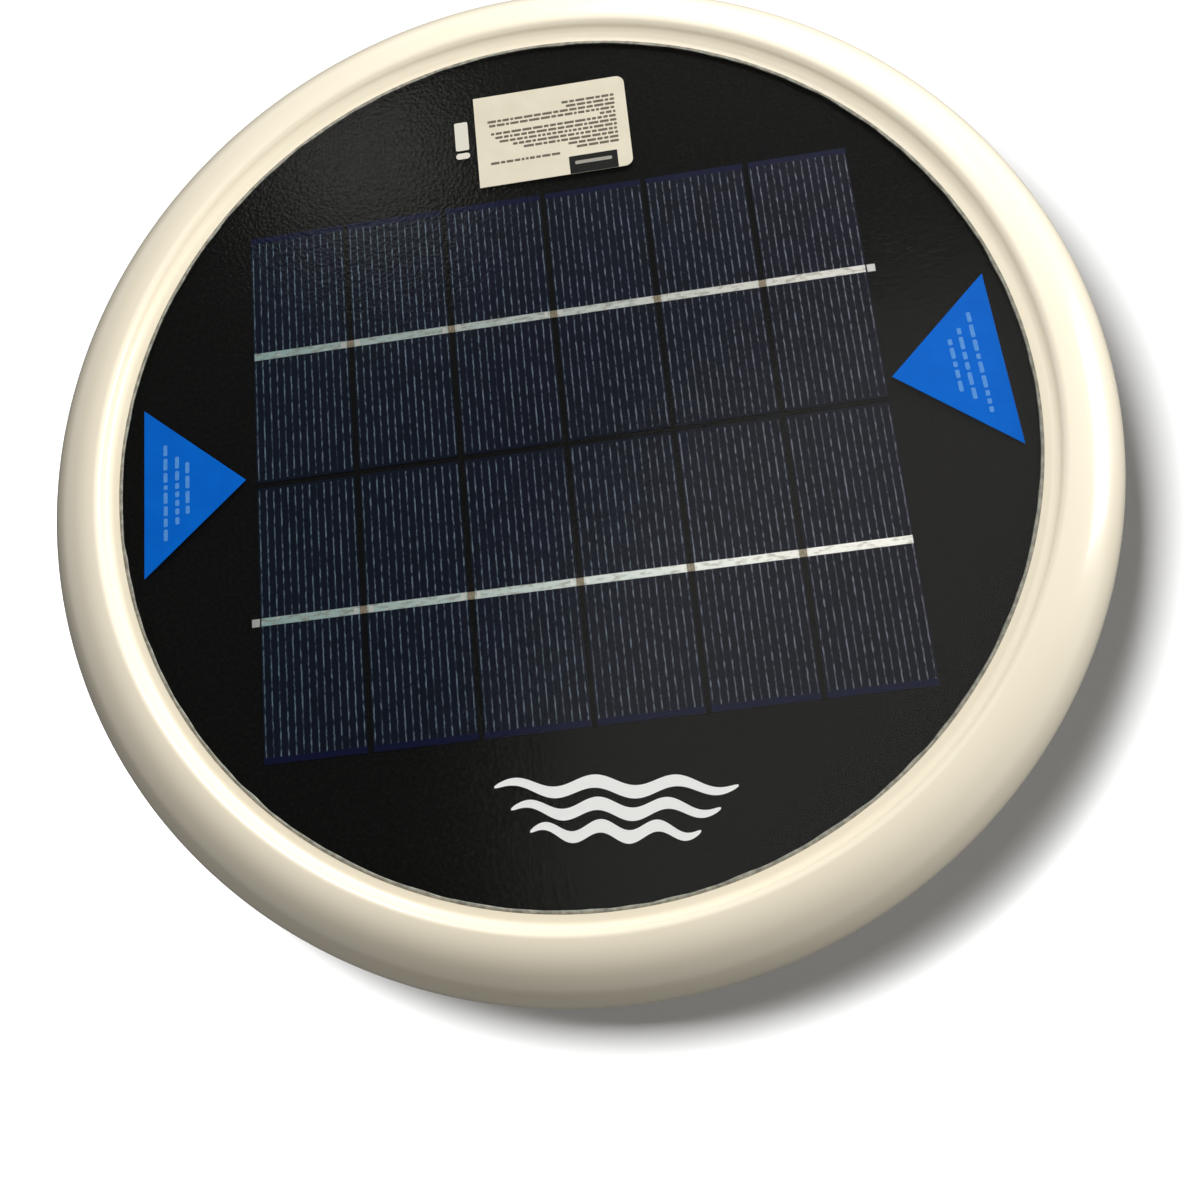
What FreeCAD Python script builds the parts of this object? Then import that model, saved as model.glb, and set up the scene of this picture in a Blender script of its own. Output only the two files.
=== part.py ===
"""Floating solar pool ioniser: a sealed float with a photovoltaic disc and electrodes in a basket.

Millimetres, +Z up. The origin is the centre of the basket's foot, so the float's axis is Z.
"""
import FreeCAD, Part
import math
import os
import re

import Sketcher

DIMENSIONS = {
    # float
    "overall_height": 154.0,
    "float_radius": 150.0,
    "rim_round": 16.0,
    "panel_drop": 4.0,
    "rise_start": 128.7,
    "rise_end": 133.1,
    "shell_wall": 3.0,
    "seam_level": 129.5,
    "blend_angle": 60.0,
    "cavity_angle": 80.0,
    "hull_curve": 150.0,
    "cavity_edge": 129.6,
    "cavity_drop": 0.2,
    "seat_radius": 127.1,
    "seat_inner": 114.0,
    "collar_outer": 52.0,
    "collar_inner": 49.2,
    "collar_height": 14.0,
    "stud_boss_radius": 16.0,
    "stud_boss_rise": 3.0,
    # hull seam
    "groove_inner": 144.9,
    "groove_outer": 146.5,
    "groove_depth": 1.2,
    "screw_circle": 132.0,
    "screw_count": 8,
    "screw_shank": 1.95,
    "screw_head": 3.8,
    "screw_head_height": 2.6,
    "screw_reach": 14.0,
    "screw_seat_drop": 5.0,
    "thread_clearance": 0.05,
    "shank_clearance": 0.25,
    "counterbore_clearance": 0.4,
    "boss_radius": 4.8,
    "boss_top_drop": 1.0,
    "lower_boss_radius": 6.4,
    "hole_margin": 1.0,
    "through_all": 20.0,
    # photovoltaic panel
    "panel_radius": 126.5,
    "board_thick": 2.6,
    "laminate_thick": 1.0,
    "film_thick": 0.5,
    "bond_line": 0.03,
    "cell_width": 28.0,
    "cell_length": 77.75,
    "cell_gap": 1.5,
    "cell_thick": 0.3,
    "cell_columns": 6,
    "cell_rows": 2,
    "grid_shift_x": 0.6,
    "grid_shift_y": -2.1,
    "ribbon_width": 2.2,
    "ribbon_thick": 0.15,
    "ribbon_inset": 0.3,
    "end_pad": 2.2,
    "end_pad_gap": 0.2,
    "film_room": 1.0,
    "sealant_gap": 0.05,
    "sealant_proud": 0.1,
    # stickers
    "sticker_thick": 0.15,
    "triangle_base": 50.6,
    "triangle_reach": 29.6,
    "triangle_apex": 90.0,
    "triangle_skew": 2.5,
    "label_width": 45.3,
    "label_height": 30.6,
    "label_round": 2.5,
    "label_shift_x": 5.5,
    "label_shift_y": 96.4,
    # centre stud and anode
    "stud_radius": 4.0,
    "stud_top": 122.0,
    "stud_end": 18.2,
    "close_clearance": 0.1,
    "seal_radius": 9.0,
    "seal_thick": 1.2,
    "washer_thick": 1.6,
    "tag_thick": 0.8,
    "stud_tag_radius": 7.0,
    "stud_nut_size": 7.5,
    "stud_nut_height": 6.5,
    "plate_radius": 42.0,
    "plate_thick": 3.3,
    "anode_radius": 17.0,
    "anode_length": 48.0,
    "anode_edge": 1.0,
    "anode_washer_radius": 12.0,
    # cathode
    "cathode_offset": 34.0,
    "contact_radius": 2.5,
    "contact_head": 5.0,
    "contact_head_height": 2.5,
    "contact_seal_radius": 5.5,
    "contact_seal_thick": 0.8,
    "contact_nut_size": 4.6,
    "contact_nut_height": 4.0,
    "contact_length": 10.2,
    "contact_pocket": 6.2,
    "spring_wire": 1.5,
    "spring_pitch": 11.0,
    # basket
    "basket_radius": 55.0,
    "basket_wall": 2.5,
    "basket_top": 103.6,
    "basket_lip": 2.0,
    "basket_lip_edge": 1.0,
    "basket_lip_height": 8.0,
    "basket_floor_level": 20.0,
    "basket_floor_thick": 3.0,
    "floor_ledge": 2.0,
    "floor_ledge_height": 2.5,
    "slot_width": 3.2,
    "slot_count": 40,
    "slot_tiers": 2,
    "slot_start": 26.0,
    "slot_length": 31.0,
    "slot_bridge": 4.0,
    "floor_slot_inner": 20.0,
    "floor_slot_outer": 46.0,
    "floor_slot_count": 24,
    "hub_radius": 12.0,
    "hub_rise": 3.0,
    # knob
    "stem_radius": 7.0,
    "stem_clearance": 0.08,
    "stem_top": 25.5,
    "knob_radius": 19.0,
    "knob_bottom": 4.5,
    "knob_height": 12.0,
    "knob_edge": 1.2,
    "knob_flange_radius": 12.5,
    "knob_flange_height": 2.2,
    "knob_scallop": 6.6,
    "knob_scallop_circle": 22.0,
    "knob_lobes": 6,
    "knob_hole_end": 10.0,
    "stud_well_clearance": 0.6,
    "insert_radius": 5.55,
    "insert_length": 7.5,
    "thrust_washer_outer": 12.4,
    "thrust_washer_inner": 7.3,
    "thrust_washer_thick": 1.2,
    "face_gap": 0.05,
    # panel electrics
    "box_length": 44.0,
    "box_width": 30.0,
    "box_height": 13.0,
    "box_wall": 1.8,
    "box_shift_y": 30.0,
    "outlet_drop": 6.4,
    "lead_radius": 1.2,
    "lead_clearance": 0.1,
    "tongue_width": 3.2,
    "tongue_overlap": 1.5,
    "barrel_radius": 1.9,
    "barrel_rise": 2.0,
    "barrel_length": 8.0,
    "nut_clearance": 0.6,
    "diode_radius": 2.7,
    "diode_length": 9.5,
    "diode_wire": 0.45,
    "diode_wire_length": 8.0,
}

RIM_R = "(float_radius - rim_round)"
RIM_Z = "(overall_height - rim_round)"
INNER_ROUND = "(rim_round - shell_wall)"
HULL_START = "(float_radius - rim_round - (hull_curve - rim_round) * cos(blend_angle))"
HULL_FLAT = "(overall_height - rim_round + (hull_curve - rim_round) * sin(blend_angle) - hull_curve)"
HULL_INSIDE = f"({HULL_FLAT} + shell_wall)"
SEAM_OUTER = f"({RIM_R} + sqrt(rim_round^2 - ({RIM_Z} - seam_level)^2))"
SEAM_INNER = f"({RIM_R} + sqrt({INNER_ROUND}^2 - ({RIM_Z} - seam_level)^2))"
SCREW_SEAT = "(seam_level - screw_seat_drop)"
PANEL_TOP = "(overall_height - panel_drop)"
BOARD_TOP = f"({PANEL_TOP} - laminate_thick)"
SEAT_LEVEL = f"({BOARD_TOP} - board_thick)"
CELL_TOP = f"({BOARD_TOP} + cell_thick)"
GRID_WIDTH = "(cell_columns * (cell_width + cell_gap) - cell_gap)"
GRID_HEIGHT = "(cell_rows * (cell_length + cell_gap) - cell_gap)"
BOSS_TOP = f"({HULL_INSIDE} + stud_boss_rise)"
PLATE_BOTTOM = f"({HULL_FLAT} - plate_thick)"
ANODE_BOTTOM = f"({PLATE_BOTTOM} - anode_length)"
STUD_BORE = "(stud_radius + close_clearance)"
CONTACT_BORE = "(contact_radius + close_clearance)"
STUD_TAG_LEVEL = f"({BOSS_TOP} + seal_thick + washer_thick)"
FLOOR_TOP = "(basket_floor_level + basket_floor_thick)"
BASKET_INNER = "(basket_radius - basket_wall)"
STEM_BASE = "(knob_bottom + knob_height + knob_flange_height)"
BOX_BOTTOM = f"({SEAT_LEVEL} - box_height)"
OUTLET_LEVEL = f"({SEAT_LEVEL} - outlet_drop)"

doc = FreeCAD.newDocument("PoolIoniser")
sheet = doc.addObject("Spreadsheet::Sheet", "dims")
for row, (alias, size) in enumerate(DIMENSIONS.items(), start=1):
    sheet.set(f"A{row}", alias)
    sheet.set(f"B{row}", str(size))
    sheet.setAlias(f"B{row}", alias)
doc.recompute()

parts = []


def on_sheet(formula):
    """Write a formula of aliases as an expression that reads the sheet."""
    return re.sub(r"[a-z_]+", lambda word: f"dims.{word[0]}" if word[0] in DIMENSIONS else word[0],
                  str(formula))


def value(formula):
    """The number that a formula of aliases stands for."""
    return float(sheet.evalExpression(on_sheet(formula)))


def bind(item, **sizes):
    """Bind properties to formulas; a double underscore stands for a dot."""
    for name, formula in sizes.items():
        item.setExpression(name.replace("__", "."), on_sheet(formula))


def keep(item, label):
    """Name a finished sub-part and list it for export."""
    item.Label = label
    parts.append(item)
    return item


# --- PartDesign helpers -------------------------------------------------------------------------

def new_body(label):
    return keep(doc.addObject("PartDesign::Body", label), label)


def origin_feature(body, role):
    return next(item for item in body.Origin.OriginFeatures if item.Role == role)


def new_sketch(body, plane, name, level=None):
    """A sketch on one of the body's origin planes, raised to a level if one is given."""
    sketch = body.newObject("Sketcher::SketchObject", name)
    sketch.AttachmentSupport = [(origin_feature(body, plane), "")]
    sketch.MapMode = "FlatFace"
    if level is not None:
        bind(sketch, AttachmentOffset__Base__z=level)
    return sketch


def constrain(sketch, kind, *arguments, formula):
    """Add a dimensional constraint and bind it to a formula."""
    index = sketch.addConstraint(Sketcher.Constraint(kind, *arguments, value(formula)))
    sketch.renameConstraint(index, f"size_{index}")
    bind(sketch, **{f"Constraints__size_{index}": formula})


def place_point(sketch, geometry, end, x, y):
    """Fix a point at (x, y), on an axis where that coordinate is zero."""
    for kind, axis, formula in (("DistanceX", -2, x), ("DistanceY", -1, y)):
        if abs(value(formula)) < 1e-9:
            sketch.addConstraint(Sketcher.Constraint("PointOnObject", geometry, end, axis))
        else:
            constrain(sketch, kind, -1, 1, geometry, end, formula=formula)


def arc_between(start, end, radius):
    """The shorter arc from start to end, counter-clockwise for a positive radius."""
    chord = end - start
    left = FreeCAD.Vector(-chord.y, chord.x, 0).normalize()
    rise = math.sqrt(radius ** 2 - (chord.Length / 2) ** 2)
    centre = (start + end) * 0.5 + left * math.copysign(rise, radius)
    first, last = (start, end) if radius > 0 else (end, start)
    angles = [math.atan2(point.y - centre.y, point.x - centre.x) for point in (first, last)]
    circle = Part.Circle(centre, FreeCAD.Vector(0, 0, 1), abs(radius))
    return Part.ArcOfCircle(circle, *angles)


def outline(sketch, corners):
    """Close an outline through corners (x, y) or (x, y, signed radius of the arc to the next)."""
    places = [FreeCAD.Vector(value(corner[0]), value(corner[1]), 0) for corner in corners]
    ends = []
    for number, corner in enumerate(corners):
        start = places[number]
        end = places[(number + 1) % len(corners)]
        if len(corner) == 3:
            radius = value(corner[2])
            geometry = sketch.addGeometry(arc_between(start, end, radius))
            constrain(sketch, "Radius", geometry, formula=f"abs({corner[2]})")
            ends.append((geometry, 1, 2) if radius > 0 else (geometry, 2, 1))
        else:
            ends.append((sketch.addGeometry(Part.LineSegment(start, end)), 1, 2))
    for number, corner in enumerate(corners):
        geometry, first, last = ends[number]
        following, following_first, _ = ends[(number + 1) % len(corners)]
        sketch.addConstraint(
            Sketcher.Constraint("Coincident", geometry, last, following, following_first))
        place_point(sketch, geometry, first, corner[0], corner[1])


def circle(sketch, radius, x="0", y="0"):
    """A circle of a bound radius at a bound place."""
    centre = FreeCAD.Vector(value(x), value(y), 0)
    geometry = sketch.addGeometry(Part.Circle(centre, FreeCAD.Vector(0, 0, 1), value(radius)))
    constrain(sketch, "Radius", geometry, formula=radius)
    place_point(sketch, geometry, 3, x, y)


def rectangle(sketch, x, y, width, height):
    """A rectangle from its lowest corner."""
    far_x, far_y = f"({x}) + ({width})", f"({y}) + ({height})"
    outline(sketch, [(x, y), (far_x, y), (far_x, far_y), (x, far_y)])


def revolve(body, corners):
    """Turn a closed (radius, level) outline round the Z axis."""
    sketch = new_sketch(body, "XZ_Plane", "section")
    outline(sketch, corners)
    turned = body.newObject("PartDesign::Revolution", "turned")
    turned.Profile = sketch
    turned.ReferenceAxis = (sketch, ["V_Axis"])
    turned.Angle = 360
    return turned


def pad(body, sketch, length, down=False):
    padded = body.newObject("PartDesign::Pad", "pad")
    padded.Profile = sketch
    padded.Reversed = down
    bind(padded, Length=length)
    return padded


def pocket(body, sketch, depth, up=False):
    """Cut down from a sketch, or up; on the XZ plane, up means towards -Y."""
    cut = body.newObject("PartDesign::Pocket", "pocket")
    cut.Profile = sketch
    cut.Reversed = up
    bind(cut, Length=depth)
    return cut


def polar(body, features, count):
    """Repeat features evenly round the Z axis."""
    pattern = body.newObject("PartDesign::PolarPattern", "around")
    pattern.Originals = features
    pattern.Axis = (origin_feature(body, "Z_Axis"), [""])
    pattern.Angle = 360
    bind(pattern, Occurrences=count)
    body.Tip = pattern
    return pattern


def require_less(body, before):
    """Stop if the last cuts removed nothing."""
    doc.recompute()
    if body.Shape.Volume >= before - 1:
        raise RuntimeError(f"{body.Label}: a cut removed nothing")


def disc(label, outer, bottom, height, inner=None, x="0"):
    """A round plate, or a ring if it has an inner radius, standing on a level."""
    body = new_body(label)
    sketch = new_sketch(body, "XY_Plane", "rings")
    circle(sketch, outer)
    if inner is not None:
        circle(sketch, inner)
    pad(body, sketch, height)
    bind(body, Placement__Base__z=bottom, Placement__Base__x=x)
    return body


# --- Part helpers -------------------------------------------------------------------------------

def primitive(kind, x="0", y="0", z="0", **sizes):
    item = doc.addObject(f"Part::{kind}", kind.lower())
    bind(item, Placement__Base__x=x, Placement__Base__y=y, Placement__Base__z=z, **sizes)
    return item


def along_x(item):
    """Lay a cylinder down so that it runs along +X from its base point."""
    item.Placement.Rotation = FreeCAD.Rotation(FreeCAD.Vector(0, 1, 0), 90)
    return item


def cut(base, tool):
    result = doc.addObject("Part::Cut", "cut")
    result.Base = base
    result.Tool = tool
    return result


def fuse(*solids):
    result = doc.addObject("Part::MultiFuse", "fused")
    result.Shapes = list(solids)
    return result


def group(label, solids):
    """Identical solids that share one node."""
    result = doc.addObject("Part::Compound", label)
    result.Links = solids
    return keep(result, label)


def hex_nut(label, size, bore, bottom, height, x="0"):
    body = primitive("Prism", x=x, z=bottom, Circumradius=size, Height=height)
    body.Polygon = 6
    hole = primitive("Cylinder", x=x, z=bottom, Radius=bore, Height=height)
    return keep(cut(body, hole), label)


# --- Float --------------------------------------------------------------------------------------

def boss_cuts(body, hole, level, depth, up):
    """A round hole on the screw circle, cut from a level."""
    sketch = new_sketch(body, "XY_Plane", "boss_hole", level)
    circle(sketch, hole, x="screw_circle")
    return pocket(body, sketch, depth, up)


def make_top_shell():
    """Rim, ledge and panel seat in one moulding, with eight blind screw bosses below."""
    body = new_body("float_top_shell")
    rise_round = "((rise_end - rise_start)^2 + panel_drop^2) / (4 * panel_drop)"
    seat_under = f"({SEAT_LEVEL} - shell_wall)"
    revolve(body, [
        ("seat_radius", PANEL_TOP),
        ("rise_start", PANEL_TOP, rise_round),
        ("(rise_start + rise_end) / 2", f"{PANEL_TOP} + panel_drop / 2", f"-{rise_round}"),
        ("rise_end", "overall_height"),
        (RIM_R, "overall_height", "-rim_round"),
        (SEAM_OUTER, "seam_level"),
        (SEAM_INNER, "seam_level", INNER_ROUND),
        (f"{RIM_R} + {INNER_ROUND} * cos(cavity_angle)", f"{RIM_Z} + {INNER_ROUND} * sin(cavity_angle)"),
        ("cavity_edge", f"{SEAT_LEVEL} - cavity_drop"),
        ("cavity_edge", seat_under),
        ("seat_inner", seat_under),
        ("seat_inner", SEAT_LEVEL),
        ("seat_radius", SEAT_LEVEL),
    ])
    sketch = new_sketch(body, "XY_Plane", "boss", "seam_level")
    circle(sketch, "boss_radius", x="screw_circle")
    boss = pad(body, sketch, f"{PANEL_TOP} - boss_top_drop - seam_level")
    polar(body, [boss], "screw_count")
    doc.recompute()
    solid = body.Shape.Volume
    hole = boss_cuts(body, "screw_shank + thread_clearance", "seam_level",
                     "screw_reach - screw_seat_drop + hole_margin", True)
    polar(body, [hole], "screw_count")
    require_less(body, solid)


def make_bottom_shell():
    """Bowl-shaped hull with the stud boss and eight counterbored screw bosses."""
    body = new_body("float_bottom_shell")
    groove_floor = "(seam_level - groove_depth)"
    inner_hull_curve = "(hull_curve - shell_wall)"
    revolve(body, [
        (SEAM_OUTER, "seam_level", "-rim_round"),
        (f"{RIM_R} + rim_round * cos(blend_angle)", f"{RIM_Z} - rim_round * sin(blend_angle)", "-hull_curve"),
        (HULL_START, HULL_FLAT),
        (STUD_BORE, HULL_FLAT),
        (STUD_BORE, BOSS_TOP),
        ("stud_boss_radius", BOSS_TOP),
        ("stud_boss_radius", HULL_INSIDE),
        (HULL_START, HULL_INSIDE, inner_hull_curve),
        (f"{RIM_R} + {INNER_ROUND} * cos(blend_angle)", f"{RIM_Z} - {INNER_ROUND} * sin(blend_angle)",
         INNER_ROUND),
        (SEAM_INNER, "seam_level"),
        ("groove_inner", "seam_level"),
        ("groove_inner", groove_floor),
        ("groove_outer", groove_floor),
        ("groove_outer", "seam_level"),
    ])
    doc.recompute()
    sketch = new_sketch(body, "XY_Plane", "boss", "seam_level")
    circle(sketch, "lower_boss_radius", x="screw_circle")
    boss = pad(body, sketch, "screw_reach", down=True)
    boss.Type = "UpToFirst"
    polar(body, [boss], "screw_count")
    doc.recompute()
    solid = body.Shape.Volume
    counterbore = boss_cuts(body, "screw_head + counterbore_clearance", SCREW_SEAT, "through_all", False)
    polar(body, [counterbore], "screw_count")
    require_less(body, solid)
    solid = body.Shape.Volume
    hole = boss_cuts(body, "screw_shank + shank_clearance", "seam_level", "through_all", False)
    polar(body, [hole], "screw_count")
    require_less(body, solid)
    solid = body.Shape.Volume
    sketch = new_sketch(body, "XY_Plane", "contact_hole", HULL_INSIDE)
    circle(sketch, CONTACT_BORE, x="cathode_offset")
    pocket(body, sketch, "shell_wall + hole_margin")
    require_less(body, solid)


def make_hull_screws():
    """Eight pan-head screws, heads down in the counterbores."""
    screws = []
    for number in range(int(value("screw_count"))):
        turn = f"{number} * 360 / screw_count"
        place = {"x": f"screw_circle * cos({turn})", "y": f"screw_circle * sin({turn})"}
        head_level = f"{SCREW_SEAT} - screw_head_height"
        head = primitive("Cylinder", z=head_level, Radius="screw_head", Height="screw_head_height", **place)
        shank = primitive("Cylinder", z=SCREW_SEAT, Radius="screw_shank", Height="screw_reach", **place)
        screws.append(fuse(head, shank))
    group("hull_screws", screws)


# --- Photovoltaic panel -------------------------------------------------------------------------

def cell_corner(column, row):
    """Lowest corner of one cell, as two formulas."""
    x = f"(grid_shift_x - {GRID_WIDTH} / 2 + {column} * (cell_width + cell_gap))"
    y = f"(grid_shift_y - {GRID_HEIGHT} / 2 + {row} * (cell_length + cell_gap))"
    return x, y


def make_cells():
    cells = []
    ribbons = []
    for row in range(int(value("cell_rows"))):
        for column in range(int(value("cell_columns"))):
            x, y = cell_corner(column, row)
            cells.append(primitive("Box", x=x, y=y, z=BOARD_TOP, Length="cell_width",
                                   Width="cell_length", Height="cell_thick"))
            ribbons.append(primitive("Box", x=f"{x} + ribbon_inset",
                                     y=f"{y} + (cell_length - ribbon_width) / 2", z=CELL_TOP,
                                     Length="cell_width - 2 * ribbon_inset", Width="ribbon_width",
                                     Height="ribbon_thick"))
    group("solar_cells", cells)
    group("cell_ribbons", ribbons)


def make_end_pads():
    """The far row's pad is past its right end and the near row's past its left end."""
    half_width = f"{GRID_WIDTH} / 2"
    pads = []
    for row, side in ((1, 1), (0, -1)):
        _, y = cell_corner(0, row)
        near_edge = f"grid_shift_x + {side} * ({half_width} + end_pad_gap)"
        x = near_edge if side > 0 else f"{near_edge} - end_pad"
        pads.append(primitive("Box", x=x, y=f"{y} + (cell_length - end_pad) / 2", z=BOARD_TOP,
                              Length="end_pad", Width="end_pad", Height="cell_thick"))
    group("ribbon_end_pads", pads)


def make_panel():
    disc("panel_board", "panel_radius", SEAT_LEVEL, "board_thick")
    make_cells()
    make_end_pads()
    margin = "(end_pad + end_pad_gap + film_room)"
    film = primitive("Cylinder", z=f"{BOARD_TOP} + bond_line", Radius="panel_radius",
                     Height="laminate_thick - bond_line")
    room = primitive("Box", x=f"grid_shift_x - {GRID_WIDTH} / 2 - {margin}",
                     y=f"grid_shift_y - {GRID_HEIGHT} / 2 - film_room", z=BOARD_TOP,
                     Length=f"{GRID_WIDTH} + 2 * {margin}", Width=f"{GRID_HEIGHT} + 2 * film_room",
                     Height="laminate_thick - film_thick")
    keep(cut(film, room), "panel_front_film")
    disc("panel_edge_sealant", "seat_radius - sealant_gap", SEAT_LEVEL,
         f"{PANEL_TOP} - {SEAT_LEVEL} + sealant_proud", inner="panel_radius")


def make_triangle(label, turn, skew):
    """A triangular sticker whose apex points at the panel's middle."""
    body = new_body(label)
    sketch = new_sketch(body, "XY_Plane", "triangle")
    outline(sketch, [("triangle_apex", "0"), ("triangle_apex + triangle_reach", "triangle_base / -2"),
                     ("triangle_apex + triangle_reach", "triangle_base / 2")])
    pad(body, sketch, "sticker_thick")
    bind(body, Placement__Base__z=PANEL_TOP)
    body.Placement.Rotation = FreeCAD.Rotation(FreeCAD.Vector(0, 0, 1), turn + skew)


def make_label():
    """A rectangular sticker with rounded corners on its right side."""
    body = new_body("info_sticker")
    sketch = new_sketch(body, "XY_Plane", "label")
    straight_x = "label_width - label_round"
    straight_y = "label_height - label_round"
    outline(sketch, [
        ("0", "0"),
        (straight_x, "0", "label_round"),
        ("label_width", "label_round"),
        ("label_width", straight_y, "label_round"),
        (straight_x, "label_height"),
        ("0", "label_height"),
    ])
    pad(body, sketch, "sticker_thick")
    bind(body, Placement__Base__x="label_shift_x - label_width / 2",
         Placement__Base__y="label_shift_y - label_height / 2", Placement__Base__z=PANEL_TOP)


# --- Stud, anode and cathode --------------------------------------------------------------------

def make_stud_parts():
    disc("centre_stud", "stud_radius", "stud_end", "stud_top - stud_end")
    disc("stud_seal", "seal_radius", BOSS_TOP, "seal_thick", inner=STUD_BORE)
    disc("stud_washer", "seal_radius", f"{BOSS_TOP} + seal_thick", "washer_thick", inner=STUD_BORE)
    hex_nut("stud_nut", "stud_nut_size", STUD_BORE, f"{STUD_TAG_LEVEL} + tag_thick", "stud_nut_height")
    disc("anode_washer", "anode_washer_radius", f"{ANODE_BOTTOM} - washer_thick", "washer_thick",
         inner=STUD_BORE)
    hex_nut("anode_nut", "stud_nut_size", STUD_BORE,
            f"{ANODE_BOTTOM} - washer_thick - stud_nut_height", "stud_nut_height")


def make_electrode_plate():
    """Insulating plate with a hole that clears the cathode screw's head."""
    body = disc("electrode_plate", "plate_radius", PLATE_BOTTOM, "plate_thick", inner=STUD_BORE)
    doc.recompute()
    solid = body.Shape.Volume
    sketch = new_sketch(body, "XY_Plane", "head_hole", "plate_thick")
    circle(sketch, "contact_pocket", x="cathode_offset")
    pocket(body, sketch, "plate_thick")
    require_less(body, solid)


def make_anode():
    """Thick copper tube with bevelled ends."""
    body = new_body("anode")
    top = "anode_length"
    revolve(body, [
        (STUD_BORE, "0"),
        ("anode_radius - anode_edge", "0"),
        ("anode_radius", "anode_edge"),
        ("anode_radius", f"{top} - anode_edge"),
        ("anode_radius - anode_edge", top),
        (STUD_BORE, top),
    ])
    bind(body, Placement__Base__z=ANODE_BOTTOM)


def make_cathode_contact():
    """Screw with its head down on the spring, sealed below the hull and held by a nut inside."""
    head_level = f"{HULL_FLAT} - contact_seal_thick - contact_head_height"
    head = primitive("Cylinder", x="cathode_offset", z=head_level, Radius="contact_head",
                     Height="contact_head_height")
    shank = primitive("Cylinder", x="cathode_offset", z=f"{HULL_FLAT} - contact_seal_thick",
                      Radius="contact_radius", Height="contact_length")
    keep(fuse(head, shank), "cathode_screw")
    disc("cathode_seal", "contact_seal_radius", f"{HULL_FLAT} - contact_seal_thick", "contact_seal_thick",
         inner=CONTACT_BORE, x="cathode_offset")
    hex_nut("cathode_nut", "contact_nut_size", CONTACT_BORE, f"{HULL_INSIDE} + tag_thick",
            "contact_nut_height", x="cathode_offset")


def make_cathode_spring():
    """Open coil between the basket floor and the electrode plate, ground flat at both ends."""
    bottom = value(FLOOR_TOP) + value("face_gap")
    height = value(PLATE_BOTTOM) - value("face_gap") - bottom
    radius = value("cathode_offset")
    wire = value("spring_wire")
    path = Part.makeHelix(value("spring_pitch"), height, radius)
    section = Part.Wire(Part.makeCircle(wire, FreeCAD.Vector(radius, 0, 0), FreeCAD.Vector(0, 1, 0)))
    coil = Part.Wire(path).makePipeShell([section], True, True)
    band = Part.makeCylinder(radius + 2 * wire, height)
    spring = doc.addObject("Part::Feature", "spring")
    spring.Shape = coil.common(band)
    spring.Placement.Base = FreeCAD.Vector(0, 0, bottom)
    keep(spring, "cathode_spring")


# --- Panel electrics ----------------------------------------------------------------------------

def make_junction_box():
    """Box bonded to the back of the board, open below and closed by a lid, with two lead outlets."""
    corner_x, corner_y = "box_length / -2", "box_shift_y - box_width / 2"
    shell = primitive("Box", x=corner_x, y=corner_y, z=BOX_BOTTOM, Length="box_length",
                      Width="box_width", Height="box_height")
    room = primitive("Box", x=f"{corner_x} + box_wall", y=f"{corner_y} + box_wall", z=BOX_BOTTOM,
                     Length="box_length - 2 * box_wall", Width="box_width - 2 * box_wall",
                     Height="box_height - box_wall")
    outlets = along_x(primitive("Cylinder", x=corner_x, y="box_shift_y", z=OUTLET_LEVEL,
                                Radius="lead_radius + lead_clearance", Height="box_length"))
    keep(cut(cut(shell, room), outlets), "junction_box")
    lid = primitive("Box", x=corner_x, y=corner_y, z=f"{BOX_BOTTOM} - box_wall", Length="box_length",
                    Width="box_width", Height="box_wall")
    keep(lid, "junction_box_lid")


def make_diode():
    """Axial diode lying between the two outlets."""
    total = "(diode_length + 2 * diode_wire_length)"
    can = along_x(primitive("Cylinder", x="diode_length / -2", y="box_shift_y", z=OUTLET_LEVEL,
                            Radius="diode_radius", Height="diode_length"))
    wire = along_x(primitive("Cylinder", x=f"{total} / -2", y="box_shift_y", z=OUTLET_LEVEL,
                             Radius="diode_wire", Height=total))
    keep(fuse(can, wire), "blocking_diode")


def make_ring_terminal(label, x, level, bore, ring, nut, side):
    """Ring tag under a nut, with a tongue out to a crimp barrel along X that clears the nut."""
    reach = f"({nut} + nut_clearance)"
    tongue_length = f"({reach} + tongue_overlap)"
    tongue_start = x if side > 0 else f"{x} - {tongue_length}"
    barrel_start = f"{x} + {reach}" if side > 0 else f"{x} - {reach} - barrel_length"
    plate = primitive("Cylinder", x=x, z=level, Radius=ring, Height="tag_thick")
    tongue = primitive("Box", x=tongue_start, y="tongue_width / -2", z=level, Length=tongue_length,
                       Width="tongue_width", Height="tag_thick")
    barrel = along_x(primitive("Cylinder", x=barrel_start, z=f"{level} + barrel_rise",
                               Radius="barrel_radius", Height="barrel_length"))
    hole = primitive("Cylinder", x=x, z=level, Radius=bore, Height="tag_thick")
    keep(cut(fuse(plate, tongue, barrel), hole), label)


def rounded_path(points):
    """Straight runs joined by tangent arcs, each as large as its two runs allow."""
    edges = []
    previous = points[0]
    for before, corner, after in zip(points, points[1:], points[2:]):
        arriving = (corner - before).normalize()
        leaving = (after - corner).normalize()
        trim = 0.45 * min((corner - before).Length, (after - corner).Length)
        half_turn = arriving.getAngle(leaving) / 2
        radius = trim / math.tan(half_turn)
        print(f"lead bend radius {radius:.1f}")
        start = corner - arriving * trim
        end = corner + leaving * trim
        inward = (leaving - arriving).normalize()
        middle = corner + inward * radius * (1 / math.cos(half_turn) - 1)
        edges.append(Part.makeLine(previous, start))
        edges.append(Part.Arc(start, middle, end).toShape())
        previous = end
    edges.append(Part.makeLine(previous, points[-1]))
    return Part.Wire(edges)


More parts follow.
